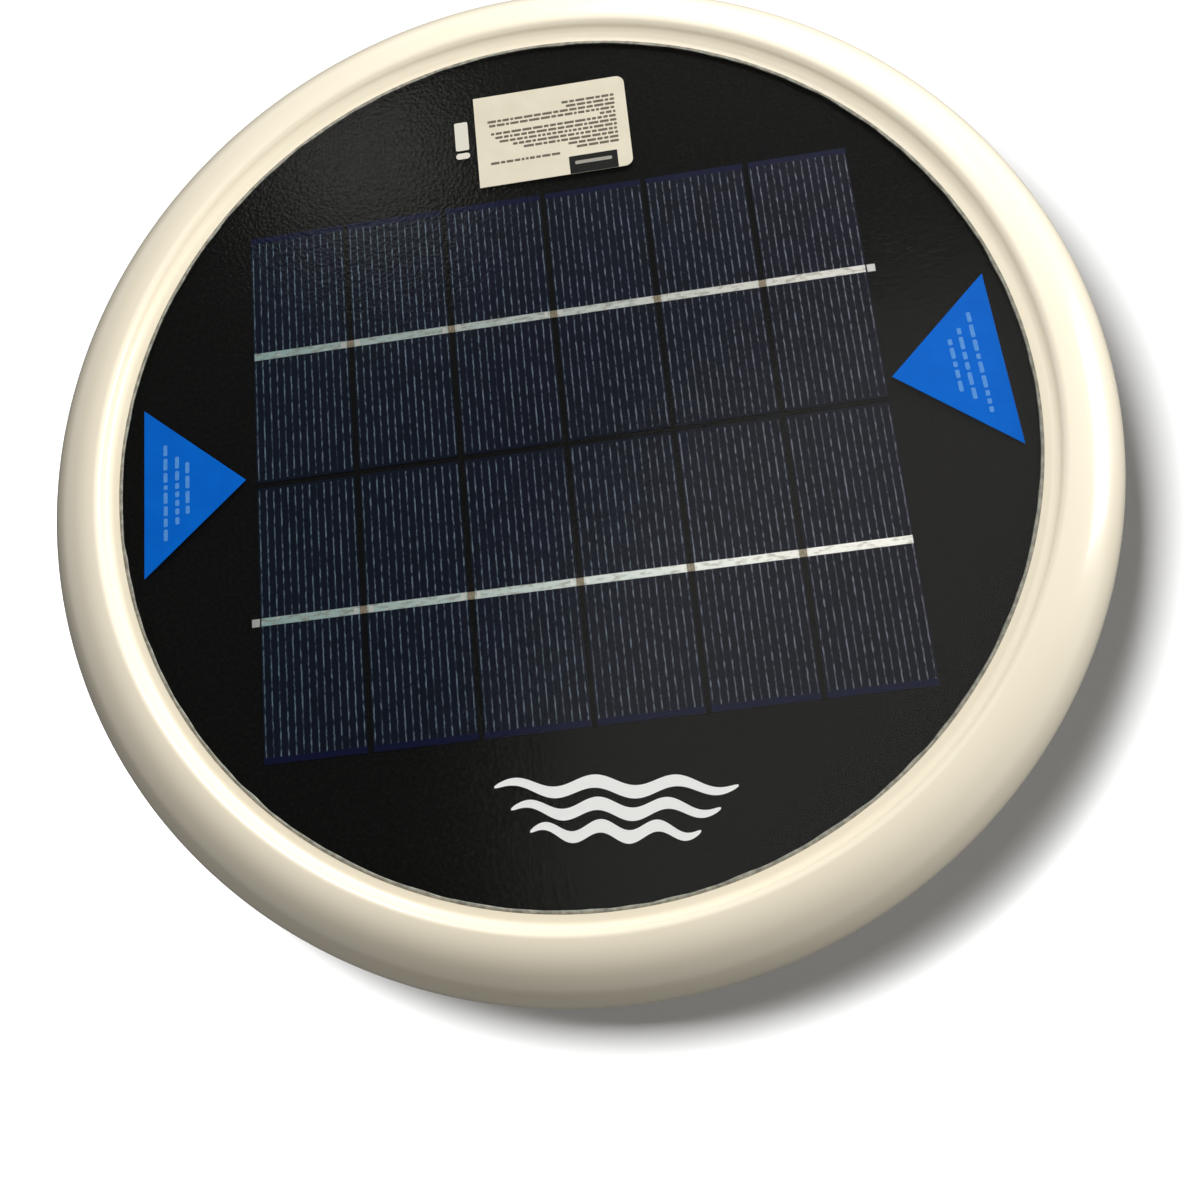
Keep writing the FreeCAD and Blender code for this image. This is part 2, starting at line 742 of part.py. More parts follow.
def make_lead(label, route):
    """A round lead along a route of points."""
    points = [FreeCAD.Vector(*(value(formula) for formula in point)) for point in route]
    path = rounded_path(points)
    radius = value("lead_radius")
    section = Part.Wire(Part.makeCircle(radius, points[0], points[1] - points[0]))
    lead = doc.addObject("Part::Feature", label)
    lead.Shape = path.makePipeShell([section], True, False)
    expected = math.pi * radius ** 2 * path.Length
    if abs(lead.Shape.Volume - expected) > 0.02 * expected:
        raise RuntimeError(f"{label}: volume {lead.Shape.Volume:.0f}, expected {expected:.0f}")
    keep(lead, label)


def make_leads():
    """Each lead loops from its ring terminal up to an outlet of the junction box."""
    make_ring_terminal("stud_terminal", "0", STUD_TAG_LEVEL, STUD_BORE, "stud_tag_radius",
                       "stud_nut_size", -1)
    make_ring_terminal("cathode_terminal", "cathode_offset", HULL_INSIDE, CONTACT_BORE,
                       "contact_seal_radius", "contact_nut_size", 1)
    stud_end = "-(stud_nut_size + nut_clearance + barrel_length)"
    stud_level = f"{STUD_TAG_LEVEL} + barrel_rise"
    make_lead("lead_positive", [
        (stud_end, "0", stud_level),
        ("-42", "0", stud_level),
        ("-58", "16", "125"),
        ("-50", "box_shift_y", "138"),
        ("box_length / -2", "box_shift_y", OUTLET_LEVEL),
    ])
    contact_end = "cathode_offset + contact_nut_size + nut_clearance + barrel_length"
    contact_level = f"{HULL_INSIDE} + barrel_rise"
    make_lead("lead_negative", [
        (contact_end, "0", contact_level),
        ("70", "0", contact_level),
        ("83", "14", "120"),
        ("66", "box_shift_y", "136"),
        ("box_length / 2", "box_shift_y", OUTLET_LEVEL),
    ])


# --- Basket and knob ----------------------------------------------------------------------------

def make_basket_cage():
    """Slotted tube with a thick rim, a foot that raises the floor and a ledge under the floor."""
    body = new_body("basket_cage")
    lip = "(basket_radius + basket_lip)"
    lip_level = "(basket_top - basket_lip_height)"
    ledge = f"({BASKET_INNER} - floor_ledge)"
    ledge_level = "(basket_floor_level - floor_ledge_height)"
    revolve(body, [
        (BASKET_INNER, "0"),
        ("basket_radius", "0"),
        ("basket_radius", f"{lip_level} - basket_lip"),
        (lip, lip_level),
        (lip, "basket_top - basket_lip_edge"),
        (f"{lip} - basket_lip_edge", "basket_top"),
        (BASKET_INNER, "basket_top"),
        (BASKET_INNER, "basket_floor_level"),
        (ledge, "basket_floor_level"),
        (ledge, ledge_level),
        (BASKET_INNER, f"{ledge_level} - floor_ledge"),
    ])
    doc.recompute()
    solid = body.Shape.Volume
    sketch = new_sketch(body, "XZ_Plane", "slots", "collar_inner")
    for tier in range(int(value("slot_tiers"))):
        level = f"slot_start + {tier} * (slot_length + slot_bridge)"
        rectangle(sketch, "slot_width / -2", level, "slot_width", "slot_length")
    slots = pocket(body, sketch, "basket_radius - collar_inner + basket_lip + hole_margin", up=True)
    polar(body, [slots], "slot_count")
    require_less(body, solid)


def make_basket_floor():
    """Strainer floor with a hub that the knob's stem turns in."""
    body = new_body("basket_floor")
    outer = f"({BASKET_INNER} - face_gap)"
    bore = "(stem_radius + stem_clearance)"
    revolve(body, [
        (bore, "0"),
        (outer, "0"),
        (outer, "basket_floor_thick"),
        ("hub_radius", "basket_floor_thick"),
        ("hub_radius", "basket_floor_thick + hub_rise"),
        (bore, "basket_floor_thick + hub_rise"),
    ])
    doc.recompute()
    solid = body.Shape.Volume
    sketch = new_sketch(body, "XY_Plane", "slots", "basket_floor_thick")
    rectangle(sketch, "floor_slot_inner", "slot_width / -2", "floor_slot_outer - floor_slot_inner",
              "slot_width")
    slots = pocket(body, sketch, "basket_floor_thick")
    polar(body, [slots], "floor_slot_count")
    require_less(body, solid)
    bind(body, Placement__Base__z="basket_floor_level")


def make_knob():
    """Lobed hand knob with a stem through the basket hub and a pocket for the threaded insert."""
    body = new_body("knob")
    grip_top = "(knob_bottom + knob_height)"
    revolve(body, [
        ("0", "knob_bottom"),
        ("knob_radius - knob_edge", "knob_bottom"),
        ("knob_radius", "knob_bottom + knob_edge"),
        ("knob_radius", f"{grip_top} - knob_edge"),
        ("knob_radius - knob_edge", grip_top),
        ("knob_flange_radius", grip_top),
        ("knob_flange_radius", STEM_BASE),
        ("stem_radius", STEM_BASE),
        ("stem_radius", "stem_top"),
        ("insert_radius + face_gap", "stem_top"),
        ("insert_radius + face_gap", "stem_top - insert_length"),
        ("stud_radius + stud_well_clearance", "stem_top - insert_length"),
        ("stud_radius + stud_well_clearance", "knob_hole_end"),
        ("0", "knob_hole_end"),
    ])
    doc.recompute()
    solid = body.Shape.Volume
    sketch = new_sketch(body, "XY_Plane", "scallop", grip_top)
    circle(sketch, "knob_scallop", x="knob_scallop_circle")
    scallop = pocket(body, sketch, "knob_height")
    polar(body, [scallop], "knob_lobes")
    require_less(body, solid)


def make_basket():
    make_basket_cage()
    make_basket_floor()
    make_knob()
    disc("knob_insert", "insert_radius", "stem_top - insert_length", "insert_length",
         inner="stud_radius + stem_clearance")
    disc("knob_washer", "thrust_washer_outer", f"{STEM_BASE} + face_gap", "thrust_washer_thick",
         inner="thrust_washer_inner")


# --- Whole object -------------------------------------------------------------------------------

def check(item):
    """Stop if a sub-part failed to build."""
    if item.Shape.isNull() or not item.Shape.isValid():
        raise RuntimeError(f"{item.Label} has a bad shape")
    if not item.Shape.Solids:
        raise RuntimeError(f"{item.Label} has no solid")


def main():
    make_top_shell()
    make_bottom_shell()
    disc("hull_seal_ring", "groove_outer - face_gap", "seam_level - groove_depth", "groove_depth",
         inner="groove_inner + face_gap")
    make_hull_screws()
    disc("basket_collar", "collar_outer", f"{HULL_FLAT} - collar_height", "collar_height",
         inner="collar_inner")
    make_panel()
    make_triangle("triangle_sticker_left", 180, 0)
    make_triangle("triangle_sticker_right", 0, value("triangle_skew"))
    make_label()
    make_stud_parts()
    make_electrode_plate()
    make_anode()
    make_cathode_contact()
    make_cathode_spring()
    make_junction_box()
    make_diode()
    make_leads()
    make_basket()
    doc.recompute()
    for item in doc.Objects:
        if "Invalid" in item.State or "Error" in item.State:
            raise RuntimeError(f"{item.Label} failed: {item.State}")
    os.makedirs("parts", exist_ok=True)
    for item in parts:
        check(item)
    for item in parts:
        item.Shape.exportStep(os.path.join("parts", f"{item.Label}.step"))
        print(f"{item.Label}: {len(item.Shape.Solids)} solids, {item.Shape.Volume:.0f} mm3")


main()
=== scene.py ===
"""Floating solar pool ioniser: materials, printed details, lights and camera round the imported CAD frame."""
import math
import random

import bmesh
import bpy
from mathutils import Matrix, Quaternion, Vector


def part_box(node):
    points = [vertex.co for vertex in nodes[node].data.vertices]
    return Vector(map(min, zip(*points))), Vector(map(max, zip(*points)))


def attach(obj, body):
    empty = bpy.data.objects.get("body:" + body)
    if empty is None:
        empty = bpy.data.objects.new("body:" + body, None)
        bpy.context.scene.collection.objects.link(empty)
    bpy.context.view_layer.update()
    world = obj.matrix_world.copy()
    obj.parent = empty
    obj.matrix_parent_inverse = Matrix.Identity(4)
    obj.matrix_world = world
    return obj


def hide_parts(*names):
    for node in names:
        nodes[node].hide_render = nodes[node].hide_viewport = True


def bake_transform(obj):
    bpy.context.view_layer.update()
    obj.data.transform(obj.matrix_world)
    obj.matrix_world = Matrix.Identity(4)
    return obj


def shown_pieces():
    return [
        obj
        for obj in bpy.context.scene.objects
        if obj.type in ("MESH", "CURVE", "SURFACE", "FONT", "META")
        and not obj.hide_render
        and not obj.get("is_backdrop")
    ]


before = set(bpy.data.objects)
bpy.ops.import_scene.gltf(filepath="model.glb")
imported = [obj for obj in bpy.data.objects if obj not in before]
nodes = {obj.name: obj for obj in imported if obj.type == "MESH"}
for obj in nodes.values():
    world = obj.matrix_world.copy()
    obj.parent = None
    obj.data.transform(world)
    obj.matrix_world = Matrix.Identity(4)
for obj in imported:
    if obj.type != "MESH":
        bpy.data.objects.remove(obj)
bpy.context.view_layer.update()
MM = 0.001
random.seed(7)

film_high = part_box("panel_front_film")[1]
grid_low, grid_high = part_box("solar_cells")
PANEL_TOP = film_high.z
PANEL_RADIUS = film_high.x
STICKER_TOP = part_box("info_sticker")[1].z
COLUMNS = 6
CELL_GAP = 1.5 * MM
CELL_PITCH = (grid_high.x - grid_low.x + CELL_GAP) / COLUMNS
INK = 0.02 * MM
SHELL_PIECES = ("top_shell_moulding", "float_bottom_shell", "basket_collar")
TIN_PIECES = ("cell_ribbons", "ribbon_end_pads", "ribbon_bridges", "solder_beads")


# --- Camera and lights --------------------------------------------------------------------------

def make_camera():
    """The photograph's view: from the near side, 66 degrees up, rolled to the right."""
    data = bpy.data.cameras.new("camera")
    data.sensor_width = 36.0
    data.lens = 37.54
    camera = bpy.data.objects.new("camera", data)
    bpy.context.scene.collection.objects.link(camera)
    place = Vector((32.8 * MM, -136.9 * MM, PANEL_TOP + 315.7 * MM))
    target = Vector((5.4 * MM, -47.6 * MM, PANEL_TOP))
    roll = Quaternion((0, 0, 1), math.radians(-23.63))
    camera.rotation_mode = "QUATERNION"
    camera.location = place
    camera.rotation_quaternion = (target - place).to_track_quat("-Z", "Y") @ roll
    data.clip_start = 0.01
    data.clip_end = 60.0
    bpy.context.scene.camera = camera


def area_light(name, place, size, watts, receivers, target=(0, 0, 0.14), glossy=True, diffuse=True,
               shape="SQUARE"):
    """A soft light aimed at the target, which lights only its receivers."""
    data = bpy.data.lights.new(name, "AREA")
    data.shape = shape
    data.size = size
    data.energy = watts
    light = bpy.data.objects.new(name, data)
    bpy.context.scene.collection.objects.link(light)
    light.location = place
    light.rotation_mode = "QUATERNION"
    light.rotation_quaternion = (Vector(target) - Vector(place)).to_track_quat("-Z", "Y")
    light.visible_camera = False
    light.visible_glossy = glossy
    light.visible_diffuse = diffuse
    lit = bpy.data.collections.new(f"lit_by_{name}")
    for piece in receivers:
        lit.objects.link(piece)
    light.light_linking.receiver_collection = lit


def make_world():
    """Pale horizon, dim overhead, so that the panel reflects little and the background stays pale."""
    world = bpy.data.worlds.new("studio")
    world.use_nodes = True
    tree = world.node_tree
    split = tree.nodes.new("ShaderNodeSeparateXYZ")
    ramp = tree.nodes.new("ShaderNodeValToRGB")
    level = tree.nodes.new("ShaderNodeMapRange")
    level.inputs["From Min"].default_value = -1.0
    tree.links.new(tree.nodes.new("ShaderNodeTexCoord").outputs["Generated"], split.inputs[0])
    tree.links.new(split.outputs["Z"], level.inputs["Value"])
    tree.links.new(level.outputs[0], ramp.inputs["Fac"])
    # Height and brightness: 0 is straight down, 0.5 the horizon and 1 straight up.
    stops = ((0.0, 0.10), (0.46, 0.16), (0.488, 0.80), (0.62, 0.76), (0.74, 0.12), (1.0, 0.05))
    while len(ramp.color_ramp.elements) < len(stops):
        ramp.color_ramp.elements.new(0.5)
    for element, (position, brightness) in zip(ramp.color_ramp.elements, stops):
        element.position = position
        element.color = (brightness, brightness * 0.99, brightness * 0.97, 1)
    tree.links.new(ramp.outputs["Color"], tree.nodes["Background"].inputs["Color"])
    bpy.context.scene.world = world


def make_floor():
    """White paper that glows a little away from the object, where its own light falls off."""
    bpy.ops.mesh.primitive_plane_add(size=40.0, location=(0, 0, 0))
    floor = bpy.context.object
    floor.name = "floor"
    graph = Graph("floor_paper", Roughness=0.9, Specular_IOR_Level=0.0, Emission_Color=(1.0, 1.0, 0.99))
    tone = graph.noise(3.0, detail=2)
    away = graph.node("VectorMath", graph.place, operation="LENGTH", out="Value")
    glow_start, glow_full, glow = 0.24, 0.75, 0.85
    graph.set(Base_Color=graph.mix(tone, (0.93, 0.93, 0.93), (0.96, 0.96, 0.955)),
              Emission_Strength=graph.span(away, glow_start, glow_full, 0.0, glow, smooth=True))
    floor.data.materials.append(graph.material)
    floor.visible_diffuse = False
    floor.visible_glossy = False
    floor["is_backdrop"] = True
    return floor


def make_lights(floor):
    """Window light from the far right, soft lights overhead, reflections for the film and the ribbons,
    and a small light for the floor's shadow."""
    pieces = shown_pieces()
    shell = [piece for piece in pieces if piece.name in SHELL_PIECES]
    film = [piece for piece in pieces if piece.name == "panel_front_film"]
    rest = [piece for piece in pieces if piece not in shell + film]
    for part, receivers, strength in (("shell", shell, 1.35), ("rest", rest, 1.0)):
        area_light(f"back_{part}", (0.40, 1.28, 1.05), 0.7, 11.0 * strength, receivers=receivers)
        area_light(f"right_{part}", (1.45, 0.35, 0.72), 0.7, 15.0, receivers=receivers)
    area_light("top", (0.06, 0.05, 0.62), 0.25, 0.62, receivers=rest, glossy=False)
    area_light("ring", (0.05, 0.08, 0.37), 0.16, 0.46, receivers=shell, glossy=False)
    tin = [piece for piece in rest if piece.name in TIN_PIECES]
    for part, receivers, watts in (("film", film, 1.1), ("tin", tin, 3.0)):
        area_light(f"wall_on_{part}", (0.280, -0.045, 0.75), 0.80, watts, target=(0.280, -0.045, 0.0),
                   receivers=receivers, diffuse=False, shape="DISK")
    area_light("lamp_reflection", (-0.213, 0.541, 0.75), 0.18, 0.11, target=(-0.213, 0.541, 0.0),
               receivers=film, diffuse=False, shape="DISK")
    area_light("floor_light", (-0.012, -0.088, 0.49), 0.07, 5.5, target=(0, 0.1, 0), receivers=[floor])
    bpy.context.scene.view_settings.view_transform = "Standard"


# --- Material helpers ---------------------------------------------------------------------------

class Graph:
    """A material's node tree, with short calls for the nodes used here."""

    def __init__(self, name, **sockets):
        self.material = bpy.data.materials.new(name)
        self.material.use_nodes = True
        self.tree = self.material.node_tree
        self.shader = self.tree.nodes["Principled BSDF"]
        self.output = self.tree.nodes["Material Output"]
        self.place = self.tree.nodes.new("ShaderNodeTexCoord").outputs["Object"]
        self.set(**sockets)

    def fill(self, socket, value):
        """Link a socket to another, or give it a value."""
        if isinstance(value, bpy.types.NodeSocket):
            self.tree.links.new(value, socket)
        elif isinstance(value, tuple) and len(value) == 3 and socket.type == "RGBA":
            socket.default_value = (*value, 1.0)
        else:
            socket.default_value = value

    def set(self, **sockets):
        """Fill the shader's sockets; an underscore stands for a space."""
        for name, value in sockets.items():
            self.fill(self.shader.inputs[name.replace("_", " ")], value)

    def node(self, kind, *values, out=0, **settings):
        """Add a node, fill its inputs in order and return one output."""
        made = self.tree.nodes.new(f"ShaderNode{kind}")
        for name, value in settings.items():
            setattr(made, name, value)
        for socket, value in zip(made.inputs, values):
            if value is not None:
                self.fill(socket, value)
        return made.outputs[out]

    def math(self, operation, *values):
        """Add a sum, product or other operation on numbers."""
        return self.node("Math", *values, operation=operation)

    def scaled(self, x, y, z):
        """The place stretched along each axis."""
        return self.node("VectorMath", self.place, (x, y, z), operation="MULTIPLY")

    def noise(self, scale, detail=2.0, roughness=0.5, place=None):
        """Cloudy noise between 0 and 1."""
        made = self.tree.nodes.new("ShaderNodeTexNoise")
        self.fill(made.inputs["Vector"], self.place if place is None else place)
        made.inputs["Scale"].default_value = scale
        made.inputs["Detail"].default_value = detail
        made.inputs["Roughness"].default_value = roughness
        return made.outputs["Fac"]

    def voronoi(self, scale, out="Distance", feature="F1"):
        """Pattern of irregular cells."""
        made = self.tree.nodes.new("ShaderNodeTexVoronoi")
        made.feature = feature
        self.fill(made.inputs["Vector"], self.place)
        made.inputs["Scale"].default_value = scale
        return made.outputs[out]

    def span(self, value, low, high, to_low=0.0, to_high=1.0, smooth=False):
        """Map a value's range to another, clamped."""
        made = self.tree.nodes.new("ShaderNodeMapRange")
        made.interpolation_type = "SMOOTHSTEP" if smooth else "LINEAR"
        for index, number in enumerate((value, low, high, to_low, to_high)):
            self.fill(made.inputs[index], number)
        return made.outputs[0]

    def mix(self, factor, low, high):
        """Blend two colours."""
        made = self.tree.nodes.new("ShaderNodeMix")
        made.data_type = "RGBA"
        self.fill(made.inputs[0], factor)
        self.fill(made.inputs[6], low)
        self.fill(made.inputs[7], high)
        return made.outputs[2]

    def bump(self, height, distance):
        """Surface relief: a height of 1 stands for the distance."""
        made = self.tree.nodes.new("ShaderNodeBump")
        made.inputs["Distance"].default_value = distance
        self.fill(made.inputs["Height"], height)
        return made.outputs["Normal"]

    def axes(self):
        """X, Y and Z of the place, each as its own value."""
        made = self.tree.nodes.new("ShaderNodeSeparateXYZ")
        self.fill(made.inputs[0], self.place)
        return made.outputs[0], made.outputs[1], made.outputs[2]


def pebbles(graph, distance):
    """The film's fine leather-like relief."""
    cells = graph.voronoi(950.0, feature="SMOOTH_F1")
    height = graph.math("ADD", cells, graph.math("MULTIPLY", graph.noise(1600.0), 0.5))
    return graph.bump(height, distance)


# --- Materials ----------------------------------------------------------------------------------

def shell_material():
    """Glossy ivory ABS with faint yellowing, orange peel and fine scuffs."""
    graph = Graph("ivory_abs", IOR=1.5, Coat_Weight=0.35, Coat_Roughness=0.08)
    tone = graph.noise(14.0, detail=3)
    base = graph.mix(graph.span(tone, 0.2, 0.8), (0.835, 0.755, 0.590), (0.855, 0.780, 0.625))
    specks = graph.span(graph.noise(1400.0, detail=1), 0.80, 0.84, 0.0, 0.35)
    graph.set(Base_Color=graph.mix(specks, base, (0.40, 0.33, 0.22)),
              Roughness=graph.span(graph.noise(60.0, detail=3), 0.2, 0.8, 0.22, 0.28),
              Normal=graph.bump(graph.noise(300.0, detail=1), 0.006 * MM))
    return graph.material


def board_material():
    """Black solder-masked board with a painted warm reflection: greener on the left, browner on the right."""
    graph = Graph("black_board", Roughness=0.55, Specular_IOR_Level=0.25)
    x, _, _ = graph.axes()
    # Painted reflection: the board turns lighter and browner towards the right.
    side = graph.span(x, -0.1, 0.1)
    base = graph.mix(side, (0.0028, 0.0040, 0.0036), (0.0058, 0.0056, 0.0048))
    grain = graph.span(graph.noise(1000.0), 0.42, 0.70, 0.0, 0.6)
    graph.set(Base_Color=graph.mix(grain, base, (0.0165, 0.0165, 0.0150)), Normal=pebbles(graph, 0.05 * MM))
    return graph.material


def film_materials():
    """The film's top reflects over a clear layer; its other faces are wholly clear."""
    top = Graph("pebbled_film")
    relief = pebbles(top, 0.06 * MM)
    glint = top.node("BsdfGlossy", (1.0, 0.985, 0.93), 0.17)
    top.tree.links.new(relief, glint.node.inputs["Normal"])
    fresnel = top.node("Fresnel", 1.42)
    top.tree.links.new(relief, fresnel.node.inputs["Normal"])
    clear = top.node("BsdfTransparent")
    mixed = top.node("MixShader", top.math("MULTIPLY", fresnel, 0.8), clear, glint)
    top.tree.links.new(mixed, top.output.inputs["Surface"])
    inner = Graph("film_inside")
    inner.tree.links.new(inner.node("BsdfTransparent"), inner.output.inputs["Surface"])
    return top.material, inner.material


def cell_material():
    """Dark blue silicon with printed silver fingers, which the film's relief breaks into painted dashes and
    glints.
    """
    fingers = 14
    finger_pitch = 2.06 * MM
    margin = (CELL_PITCH - CELL_GAP - (fingers - 1) * finger_pitch) / 2
    line_core, line_edge = 0.10 * MM, 0.24 * MM
    bare_edge, bare_fade = 2.0 * MM, 1.6 * MM
    middle_gap, middle_fade = 1.45 * MM, 1.7 * MM
    height = grid_high.y - grid_low.y
    graph = Graph("blue_cells", Roughness=0.38, Specular_IOR_Level=0.4)
    x, y, _ = graph.axes()
    wobble = graph.span(graph.noise(900.0), 0.0, 1.0, -0.22 * MM, 0.22 * MM)
    along = graph.math("MODULO", graph.math("SUBTRACT", x, grid_low.x), CELL_PITCH)
    wavy = graph.math("ADD", along, wobble)
    phase = graph.math("PINGPONG", graph.math("SUBTRACT", wavy, margin), finger_pitch / 2)
    line = graph.span(phase, line_core, line_edge, 1.0, 0.0, smooth=True)
    from_middle = graph.math("ABSOLUTE", graph.math("SUBTRACT", y, (grid_low.y + grid_high.y) / 2))
    outer = graph.span(from_middle, height / 2 - bare_edge, height / 2 - bare_fade, 1.0, 0.0)
    inner = graph.span(from_middle, middle_gap, middle_fade)
    line = graph.math("MULTIPLY", line, graph.math("MULTIPLY", outer, inner))
    # Painted dashes and glints: where the film's pebbles bend the light, the fingers show only in part.
    dashes = graph.noise(1.0, detail=2, roughness=0.6, place=graph.scaled(620.0, 400.0, 1.0))
    line = graph.math("MULTIPLY", line, graph.span(dashes, 0.40, 0.64, 0.08, 1.0))
    crystals = graph.voronoi(160.0, out="Color")
    shade = graph.node("RGBToBW", crystals)
    # Painted reflections: the cells are bluer on the left and greyer on the right, the fingers lighter on the
    # right.
    side = graph.span(x, -0.09, 0.09)
    base = graph.mix(side, (0.0032, 0.0100, 0.0230), (0.0045, 0.0062, 0.0175))
    base = graph.mix(graph.math("MULTIPLY", shade, 0.4), base, (0.009, 0.014, 0.048))
    strip = graph.math("SUBTRACT", 1.0, outer)
    base = graph.mix(strip, base, (0.006, 0.010, 0.060))
    silver = graph.mix(side, (0.25, 0.37, 0.48), (0.36, 0.37, 0.46))
    graph.set(Base_Color=graph.mix(line, base, silver), Normal=pebbles(graph, 0.03 * MM))
    return graph.material


def ribbon_material():
    """Tinned ribbon: bluish where the sky side reflects, warmer to the right, with solder marks."""
    graph = Graph("tinned_ribbon", Metallic=0.35, Roughness=0.36)
    x, _, _ = graph.axes()
    side = graph.span(x, -0.085, 0.07)
    base = graph.mix(side, (0.62, 0.84, 0.80), (1.0, 0.98, 0.90))
    marks = graph.span(graph.noise(1.0, place=graph.scaled(340.0, 900.0, 300.0), detail=3), 0.48, 0.66)
    base = graph.mix(graph.math("MULTIPLY", marks, 0.55), base, (0.36, 0.33, 0.25))
    bright = graph.span(graph.noise(1.0, place=graph.scaled(420.0, 1500.0, 300.0), detail=3), 0.58, 0.72)
    graph.set(Base_Color=graph.mix(bright, base, (0.95, 0.95, 0.90)),
              Normal=graph.bump(graph.noise(900.0), 0.03 * MM))
    return graph.material


def solder_material():
    """Bright solder with a slightly uneven surface."""
    graph = Graph("solder", Metallic=0.3, Roughness=0.3)
    tone = graph.noise(1500.0)
    graph.set(Base_Color=graph.mix(tone, (0.92, 0.92, 0.86), (1.0, 1.0, 0.96)),
              Normal=graph.bump(graph.noise(1200.0), 0.04 * MM))
    return graph.material


def flux_material():
    """Tan ribbon bridges between cells, browned by flux."""
    graph = Graph("flux_browned_ribbon", Metallic=0.2, Roughness=0.5)
    tone = graph.noise(1800.0, detail=3)
    graph.set(Base_Color=graph.mix(graph.span(tone, 0.35, 0.65), (0.26, 0.21, 0.14), (0.50, 0.42, 0.30)),
              Normal=graph.bump(tone, 0.03 * MM))
    return graph.material


def vinyl_material(name, low, high):
    """Printed vinyl with a faint mottle and a soft sheen."""
    graph = Graph(name, Roughness=0.5, Specular_IOR_Level=0.12)
    tone = graph.span(graph.noise(120.0, detail=3), 0.3, 0.7)
    graph.set(Base_Color=graph.mix(tone, low, high), Normal=graph.bump(graph.noise(800.0), 0.012 * MM))
    return graph.material


def ink_material(name, low, high):
    """Printed ink with uneven cover."""
    graph = Graph(name, Roughness=0.5, Specular_IOR_Level=0.15)
    graph.set(Base_Color=graph.mix(graph.noise(1500.0, detail=3), low, high),
              Normal=graph.bump(graph.noise(2500.0), 0.008 * MM))
    return graph.material


def plastic_material(name, low, high, roughness, grain=600.0):
    """Moulded plastic with a light texture and some tone variation."""
    graph = Graph(name)
    tone = graph.span(graph.noise(45.0, detail=4), 0.35, 0.65)
    graph.set(Base_Color=graph.mix(tone, low, high),
              Roughness=graph.span(graph.noise(150.0), 0.3, 0.7, roughness - 0.06, roughness + 0.08),
              Normal=graph.bump(graph.noise(grain, detail=2), 0.015 * MM))
    return graph.material


def steel_material(name="stainless", stretch=(60.0, 60.0, 2500.0)):
    """Drawn or turned stainless steel with fine tool marks."""
    graph = Graph(name, Metallic=1.0)
    marks = graph.noise(1.0, detail=3, roughness=0.7, place=graph.scaled(*stretch))
    graph.set(Base_Color=graph.mix(marks, (0.50, 0.50, 0.49), (0.72, 0.71, 0.69)),
              Roughness=graph.span(marks, 0.3, 0.7, 0.18, 0.36), Normal=graph.bump(marks, 0.01 * MM))
    return graph.material


def copper_material():
    """Turned copper, browned and slightly greened in patches."""
    graph = Graph("copper", Metallic=1.0)
    rings = graph.noise(1.0, detail=3, place=graph.scaled(30.0, 30.0, 2200.0))
    patch = graph.span(graph.noise(90.0, detail=5), 0.42, 0.66)
    base = graph.mix(rings, (0.72, 0.36, 0.22), (0.88, 0.50, 0.34))
    base = graph.mix(graph.math("MULTIPLY", patch, 0.7), base, (0.30, 0.14, 0.09))
    green = graph.span(graph.noise(140.0, detail=5), 0.64, 0.76)
    base = graph.mix(graph.math("MULTIPLY", green, 0.5), base, (0.16, 0.34, 0.27))
    graph.set(Base_Color=base, Roughness=graph.span(patch, 0.0, 1.0, 0.28, 0.55),
              Normal=graph.bump(rings, 0.015 * MM))
    return graph.material


def brass_material():
    """Turned brass with fine tool marks."""
    graph = Graph("brass", Metallic=1.0)
    marks = graph.noise(1.0, detail=3, place=graph.scaled(40.0, 40.0, 2000.0))
    graph.set(Base_Color=graph.mix(marks, (0.66, 0.47, 0.20), (0.84, 0.66, 0.34)),
              Roughness=graph.span(marks, 0.3, 0.7, 0.22, 0.4), Normal=graph.bump(marks, 0.01 * MM))
    return graph.material


def sealant_material():
    """Clear-grey silicone with dust caught in it."""
    graph = Graph("silicone", Roughness=0.45, Subsurface_Weight=0.2, Subsurface_Scale=0.001)
    dust = graph.span(graph.noise(500.0, detail=3), 0.35, 0.65)
    graph.set(Base_Color=graph.mix(dust, (0.26, 0.25, 0.21), (0.52, 0.49, 0.41)),
              Normal=graph.bump(graph.noise(500.0, detail=1), 0.02 * MM))
    return graph.material


# --- Piece helpers ------------------------------------------------------------------------------

def new_piece(name, mesh_maker, material, body="float", smooth=False, replaced=()):
    """Make a mesh object from a function that fills a bmesh, and ride it on a body."""
    mesh = bpy.data.meshes.new(name)
    grown = bmesh.new()
    mesh_maker(grown)
    bmesh.ops.recalc_face_normals(grown, faces=grown.faces)
    grown.to_mesh(mesh)
    grown.free()
    piece = bpy.data.objects.new(name, mesh)
    bpy.context.scene.collection.objects.link(piece)
    mesh.materials.append(material)
    for face in mesh.polygons:
        face.use_smooth = smooth
    if body:
        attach(piece, body)
    if replaced:
        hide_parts(*replaced)
    return piece


def mark_sharp(piece, limit):
    """Keep edges sharp where the faces turn by more than a limit in degrees."""
    grown = bmesh.new()
    grown.from_mesh(piece.data)
    for edge in grown.edges:
        edge.smooth = len(edge.link_faces) == 2 and edge.calc_face_angle() < math.radians(limit)
    grown.to_mesh(piece.data)
    grown.free()


def prism(mesh, outline, low, high):
    """A closed solid between two levels from an outline of (x, y) points."""
    bottom = [mesh.verts.new((x, y, low)) for x, y in outline]
    top = [mesh.verts.new((x, y, high)) for x, y in outline]
    mesh.faces.new(reversed(bottom))
    mesh.faces.new(top)
    count = len(outline)
    for number in range(count):
        following = (number + 1) % count
        mesh.faces.new((bottom[number], bottom[following], top[following], top[number]))


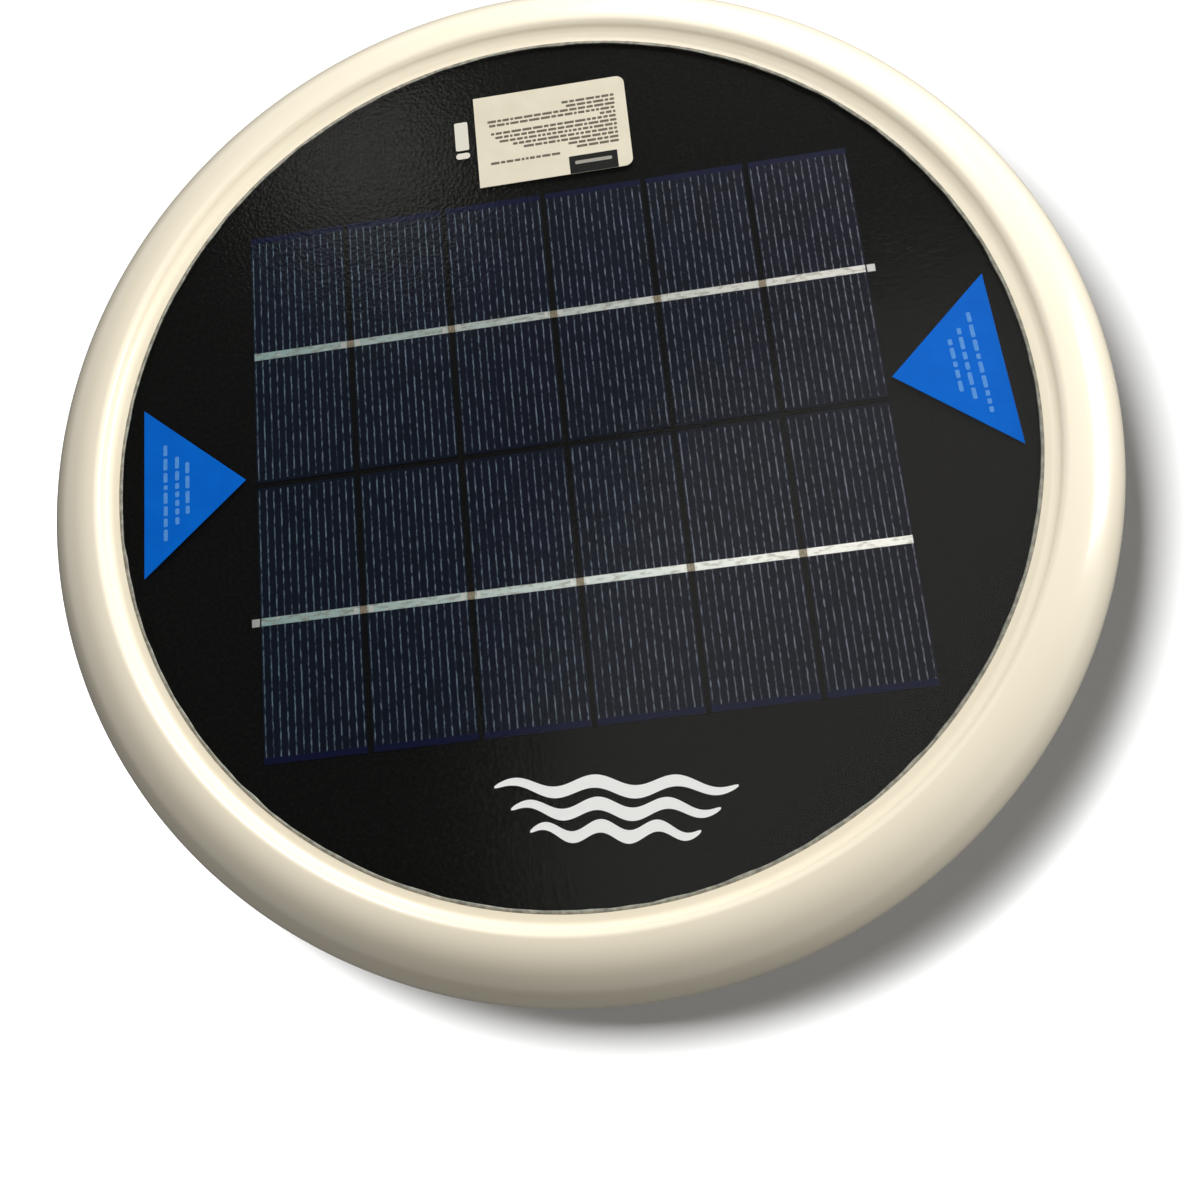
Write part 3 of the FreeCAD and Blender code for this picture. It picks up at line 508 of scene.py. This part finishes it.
def rounded_bar(x, y, width, height, radius, steps=5):
    """Outline of a rectangle with rounded corners, centred on (x, y)."""
    points = []
    for corner in range(4):
        side_x = (1, -1, -1, 1)[corner]
        side_y = (1, 1, -1, -1)[corner]
        for step in range(steps + 1):
            angle = math.radians(90 * (corner + step / steps))
            points.append((x + side_x * (width / 2 - radius) + radius * math.cos(angle),
                           y + side_y * (height / 2 - radius) + radius * math.sin(angle)))
    return points


def arc(x, z, radius, start, end, steps):
    """Points on an arc round (x, z), from one angle to another in degrees, both ends included."""
    angles = [math.radians(start + (end - start) * step / steps) for step in range(steps + 1)]
    return [(x + radius * math.cos(angle), z + radius * math.sin(angle)) for angle in angles]


def lathe(mesh, section, steps, centre=(0.0, 0.0)):
    """A closed solid of revolution from a closed section of (radius, level) points.

    A point at radius 0 is one vertex on the axis.
    """
    rings = []
    for radius, level in section:
        if radius == 0.0:
            rings.append([mesh.verts.new((centre[0], centre[1], level))] * steps)
            continue
        angles = [2 * math.pi * step / steps for step in range(steps)]
        rings.append([mesh.verts.new((centre[0] + radius * math.cos(angle),
                                      centre[1] + radius * math.sin(angle), level)) for angle in angles])
    for number, ring in enumerate(rings):
        after = rings[(number + 1) % len(rings)]
        for step in range(steps):
            following = (step + 1) % steps
            corners = []
            for corner in (ring[step], ring[following], after[following], after[step]):
                if corner not in corners:
                    corners.append(corner)
            if len(corners) > 2:
                mesh.faces.new(corners)


def turned(points, angle, about=(0.0, 0.0)):
    """Points turned about another by an angle in degrees."""
    cosine, sine = math.cos(math.radians(angle)), math.sin(math.radians(angle))
    return [(about[0] + cosine * (x - about[0]) - sine * (y - about[1]),
             about[1] + sine * (x - about[0]) + cosine * (y - about[1])) for x, y in points]


def paint(material, *names):
    """Give CAD nodes a material in place of their packed one."""
    for name in names:
        mesh = nodes[name].data
        mesh.materials.clear()
        mesh.materials.append(material)


# --- Float --------------------------------------------------------------------------------------

def make_top_shell():
    """The rim moulding in fine steps, with its eight screw bosses inside. Sizes are in millimetres."""
    rim, crown, round_radius, wall = 134.0, 138.0, 16.0, 3.0
    crest, ledge, seat, seam = 154.0, 150.0, 146.4, 129.5
    seat_radius, seat_hole, pocket_radius, pocket_step = 127.1, 114.0, 129.6, 0.2
    boss_count, boss_ring, boss_radius, boss_top = 8, 132.0, 4.8, 149.0
    screw_radius, screw_end = 2.0, 139.5
    rise_start, rise_end = 128.7, 133.1
    rise_width, drop = rise_end - rise_start, crest - ledge
    rise_radius = (rise_width ** 2 + drop ** 2) / (4 * drop)
    rise_turn = math.degrees(2 * math.atan2(drop, rise_width))
    outer_turn = math.degrees(math.asin((seam - crown) / round_radius))
    inner_turn = math.degrees(math.asin((seam - crown) / (round_radius - wall)))
    section = [(seat_radius, seat), (seat_radius, ledge)]
    section += arc(rise_start, ledge + rise_radius, rise_radius, -90.0, rise_turn - 90.0, 10)
    section += arc(rise_end, crest - rise_radius, rise_radius, 90.0 + rise_turn, 90.0, 10)[1:]
    section += arc(rim, crown, round_radius, 90.0, outer_turn, 40)
    section += arc(rim, crown, round_radius - wall, inner_turn, 80.0, 24)
    section += [(pocket_radius, seat - pocket_step), (pocket_radius, seat - wall),
                (seat_hole, seat - wall), (seat_hole, seat)]
    boss = [(0.0, boss_top), (boss_radius, boss_top), (boss_radius, seam), (screw_radius, seam),
            (screw_radius, screw_end), (0.0, screw_end)]

    def moulding(mesh):
        lathe(mesh, [(radius * MM, level * MM) for radius, level in section], steps=360)
        for number in range(boss_count):
            angle = math.radians(360.0 / boss_count * number)
            centre = (boss_ring * MM * math.cos(angle), boss_ring * MM * math.sin(angle))
            lathe(mesh, [(radius * MM, level * MM) for radius, level in boss], steps=32, centre=centre)

    piece = new_piece("top_shell_moulding", moulding, shell_material(), smooth=True,
                      replaced=["float_top_shell"])
    mark_sharp(piece, limit=35.0)


# --- Panel details ------------------------------------------------------------------------------

def make_film():
    """Give the film's top the pebbled material and its other faces the clear one."""
    top, inner = film_materials()
    mesh = nodes["panel_front_film"].data
    mesh.materials.clear()
    mesh.materials.append(top)
    mesh.materials.append(inner)
    near_top = PANEL_TOP - 0.1 * MM
    for face in mesh.polygons:
        is_top = face.normal.z > 0.5 and face.center.z > near_top
        face.material_index = 0 if is_top else 1


def make_ribbon_joints():
    """Tan bridges over the gaps between cells, with a bright solder bead at each end."""
    low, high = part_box("cell_ribbons")
    half_ribbon, bead_offset, bead_height = 1.1 * MM, 2.1 * MM, 0.03 * MM
    rows = [low.y + half_ribbon, high.y - half_ribbon]
    gaps = [grid_low.x + column * CELL_PITCH - CELL_GAP / 2 for column in range(1, COLUMNS)]

    def bridges(mesh):
        for y in rows:
            for x in gaps:
                outline = rounded_bar(x, y, width=3.0 * MM, height=2.1 * MM, radius=0.3 * MM)
                prism(mesh, outline, low.z + 0.02 * MM, high.z - 0.04 * MM)

    def beads(mesh):
        for y in rows:
            for x in gaps:
                for side in (-1, 1):
                    width = random.uniform(0.9, 1.5) * MM
                    shift = random.uniform(-0.2, 0.2) * MM
                    outline = rounded_bar(x + side * bead_offset, y + shift, width, height=1.8 * MM,
                                          radius=0.4 * MM)
                    prism(mesh, outline, high.z, high.z + bead_height)

    new_piece("ribbon_bridges", bridges, flux_material())
    new_piece("solder_beads", beads, solder_material())


def make_label_print():
    """Brown-grey dashes in rows for small print, and a black tab at the lower right of the label."""
    low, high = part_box("info_sticker")
    grey = ink_material("grey_ink", (0.09, 0.075, 0.055), (0.26, 0.225, 0.17))
    black = ink_material("black_ink", (0.006, 0.006, 0.006), (0.02, 0.02, 0.018))
    bar_ink = ink_material("tab_ink", (0.30, 0.29, 0.25), (0.50, 0.48, 0.42))
    tab_left, tab_right = high.x - 18.5 * MM, high.x - 4.3 * MM
    tab_top = low.y + 5.8 * MM
    left, right = low.x + 3.0 * MM, high.x - 3.4 * MM
    first_row, row_step, line_height = 6.1 * MM, 1.42 * MM, 0.80 * MM
    shortest, space, corner = 0.6 * MM, 0.38 * MM, 0.2 * MM
    # Where each row starts and ends, as shares of the width between the margins.
    rows = [(0.60, 1.0), (0.63, 1.0), (0.02, 1.0), (0.03, 1.0), (0.88, 1.0), (0.04, 1.0), (0.07, 1.0),
            (0.10, 1.0), (0.20, 1.0), (0.28, 1.0), (0.62, 1.0), (0.68, 1.0), (0.02, 0.55)]

    def lines(mesh):
        for number, (first, last) in enumerate(rows):
            y = high.y - first_row - number * row_step
            x = left + first * (right - left)
            end = left + last * (right - left)
            while x < end - shortest:
                length = min(random.uniform(0.8, 3.2) * MM, end - x)
                prism(mesh, rounded_bar(x + length / 2, y, length, line_height, corner, steps=2),
                      STICKER_TOP, STICKER_TOP + INK)
                x += length + space

    def tab(mesh):
        prism(mesh, [(tab_left, low.y), (tab_right, low.y), (tab_right, tab_top), (tab_left, tab_top)],
              STICKER_TOP, STICKER_TOP + INK)

    def tab_bar(mesh):
        outline = rounded_bar((tab_left + tab_right) / 2, low.y + 3.5 * MM, width=10.8 * MM,
                              height=1.1 * MM, radius=0.3 * MM)
        prism(mesh, outline, STICKER_TOP + INK, STICKER_TOP + 2 * INK)

    new_piece("label_lines", lines, grey)
    new_piece("label_tab", tab, black)
    new_piece("label_tab_bar", tab_bar, bar_ink)


def make_label_mark():
    """Printed bar and dot beside the label."""
    low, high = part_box("info_sticker")
    cream = ink_material("cream_ink", (0.80, 0.76, 0.64), (0.90, 0.86, 0.75))
    x = low.x - 4.3 * MM
    middle = (low.y + high.y) / 2

    def mark(mesh):
        bar = rounded_bar(x, middle + 3.1 * MM, width=4.0 * MM, height=9.6 * MM, radius=0.5 * MM)
        dot = rounded_bar(x, middle - 3.6 * MM, width=4.2 * MM, height=2.0 * MM, radius=0.99 * MM)
        for outline in (bar, dot):
            prism(mesh, outline, PANEL_TOP, PANEL_TOP + INK)

    new_piece("label_mark", mark, cream)


def make_triangle_print():
    """Three rows of pale dashes on each triangle, along its outer side. Sizes are in millimetres."""
    pale = ink_material("pale_ink", (0.04, 0.24, 0.70), (0.16, 0.38, 0.80))
    space, line_height, corner = 0.8, 1.15, 0.3
    # How far each row is from the centre, and its length.
    columns = ((107.0, 15.5), (110.0, 21.0), (113.4, 30.0))

    def rows(mesh):
        for side, skew in ((-1, 0.0), (1, 2.5)):
            for column, length in columns:
                y = -length / 2
                while y < length / 2 - space:
                    word = min(random.uniform(1.2, 3.8), length / 2 - y)
                    outline = rounded_bar(side * column * MM, (y + word / 2) * MM, line_height * MM,
                                          word * MM, corner * MM, steps=2)
                    prism(mesh, turned(outline, skew), STICKER_TOP, STICKER_TOP + INK)
                    y += word + space

    new_piece("triangle_lines", rows, pale)


def wave_outline(x, y, width, rise, stroke):
    """Outline of one wavy stroke, thick in the middle and pointed at both ends."""
    waves, steps = 3, 72
    upper, lower = [], []
    for step in range(steps + 1):
        along = step / steps
        height = rise * math.sin(2 * math.pi * waves * along)
        half = stroke / 2 * (0.15 + 0.85 * math.sin(math.pi * along) ** 0.5)
        upper.append((x + (along - 0.5) * width, y + height + half))
        lower.append((x + (along - 0.5) * width, y + height - half))
    return lower + upper[::-1]


def make_wave_mark():
    """Generic mark in white ink: three wavy lines."""
    white = ink_material("white_ink", (0.97, 0.97, 0.94), (1.0, 1.0, 0.98))
    x, y, tilt = 3.8 * MM, -102.0 * MM, -6.0

    def waves(mesh):
        for row, width in enumerate((62.0, 53.0, 43.0)):
            level = y + (5.4 - 5.6 * row) * MM
            outline = wave_outline(x, level, width * MM, rise=1.4 * MM, stroke=3.4 * MM)
            prism(mesh, turned(outline, tilt, (x, y)), PANEL_TOP, PANEL_TOP + INK)

    new_piece("wave_mark", waves, white)


def make_sealant_bead():
    """Uneven silicone bead between the film's edge and the ledge."""
    low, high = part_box("panel_edge_sealant")
    outer = high.x
    root = PANEL_RADIUS + 0.05 * MM
    foot = PANEL_TOP + 0.01 * MM
    steps = 720
    phases = [(random.randint(7, 90), random.uniform(0, 2 * math.pi)) for _ in range(14)]

    def ripple(angle):
        return sum(math.sin(count * angle + phase) for count, phase in phases) / len(phases) ** 0.5

    def bead(mesh):
        rings = []
        for step in range(steps):
            angle = 2 * math.pi * step / steps
            reach = PANEL_RADIUS - (0.40 + 0.12 * ripple(angle)) * MM
            crown = PANEL_TOP + (0.11 + 0.03 * ripple(angle + 1.0)) * MM
            section = [(outer, low.z), (root, low.z), (root, foot), (reach, foot),
                       ((reach + PANEL_RADIUS) / 2, crown), (outer, PANEL_TOP + 0.04 * MM)]
            rings.append([mesh.verts.new((r * math.cos(angle), r * math.sin(angle), z)) for r, z in section])
        for step in range(steps):
            this, following = rings[step], rings[(step + 1) % steps]
            for number in range(len(this)):
                after = (number + 1) % len(this)
                mesh.faces.new((this[number], following[number], following[after], this[after]))

    new_piece("sealant_bead", bead, sealant_material(), smooth=True,
              replaced=["panel_edge_sealant"])


# --- Electrodes ---------------------------------------------------------------------------------

def make_spring():
    """The coil as a swept tube, in place of the CAD spring."""
    low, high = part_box("cathode_spring")
    wire_radius = 1.5 * MM
    radius = high.x - wire_radius
    pitch = 11.0 * MM
    turns = (high.z - low.z - 2 * wire_radius) / pitch
    around = 16
    steps_per_turn = 48
    steps = int(turns * steps_per_turn)

    def coil(mesh):
        rings = []
        for step in range(steps + 1):
            angle = 2 * math.pi * turns * step / steps
            out = Vector((math.cos(angle), math.sin(angle), 0))
            centre = out * radius + Vector((0, 0, low.z + wire_radius + pitch * angle / (2 * math.pi)))
            ring = []
            for number in range(around):
                turn = 2 * math.pi * number / around
                ring.append(mesh.verts.new(centre + (out * math.cos(turn)
                                                     + Vector((0, 0, 1)) * math.sin(turn)) * wire_radius))
            rings.append(ring)
        for this, following in zip(rings, rings[1:]):
            for number in range(around):
                after = (number + 1) % around
                mesh.faces.new((this[number], following[number], following[after], this[after]))
        mesh.faces.new(reversed(rings[0]))
        mesh.faces.new(rings[-1])

    spring = new_piece("spring_coil", coil, steel_material("spring_steel", (900.0, 900.0, 900.0)),
                       body=None, smooth=True, replaced=["cathode_spring"])
    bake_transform(spring)


# --- Scene --------------------------------------------------------------------------------------

def paint_nodes():
    """Give the CAD nodes their materials; make_film gives the film's."""
    shell = shell_material()
    paint(shell, "float_top_shell", "float_bottom_shell", "basket_collar")
    paint(board_material(), "panel_board")
    paint(cell_material(), "solar_cells")
    paint(ribbon_material(), "cell_ribbons")
    paint(solder_material(), "ribbon_end_pads", "stud_terminal", "cathode_terminal")
    paint(vinyl_material("blue_vinyl", (0.000, 0.128, 0.62), (0.000, 0.146, 0.67)),
          "triangle_sticker_left", "triangle_sticker_right")
    paint(vinyl_material("cream_vinyl", (0.84, 0.77, 0.60), (0.90, 0.83, 0.66)), "info_sticker")
    steel = steel_material()
    paint(steel, "hull_screws", "centre_stud", "stud_washer", "stud_nut", "anode_washer", "anode_nut",
          "cathode_screw", "cathode_nut")
    paint(plastic_material("black_rubber", (0.012, 0.012, 0.012), (0.03, 0.03, 0.03), 0.6, grain=1500.0),
          "hull_seal_ring", "stud_seal", "cathode_seal")
    paint(plastic_material("natural_plate", (0.74, 0.73, 0.69), (0.82, 0.81, 0.77), 0.45), "electrode_plate")
    paint(copper_material(), "anode")
    paint(plastic_material("black_moulding", (0.012, 0.012, 0.012), (0.03, 0.03, 0.032), 0.45),
          "junction_box", "junction_box_lid", "blocking_diode")
    paint(plastic_material("red_wire", (0.42, 0.012, 0.012), (0.55, 0.02, 0.018), 0.4), "lead_positive")
    paint(plastic_material("black_wire", (0.012, 0.012, 0.012), (0.03, 0.03, 0.03), 0.4), "lead_negative")
    paint(plastic_material("basket_plastic", (0.74, 0.72, 0.64), (0.82, 0.80, 0.72), 0.38),
          "basket_cage", "basket_floor")
    paint(plastic_material("knob_plastic", (0.010, 0.045, 0.20), (0.014, 0.06, 0.26), 0.36), "knob")
    paint(brass_material(), "knob_insert")
    paint(plastic_material("nylon", (0.80, 0.79, 0.74), (0.87, 0.86, 0.82), 0.4), "knob_washer")


make_camera()
make_world()
paint_nodes()
make_top_shell()
make_film()
make_ribbon_joints()
make_label_print()
make_label_mark()
make_triangle_print()
make_wave_mark()
make_sealant_bead()
make_spring()
make_lights(make_floor())
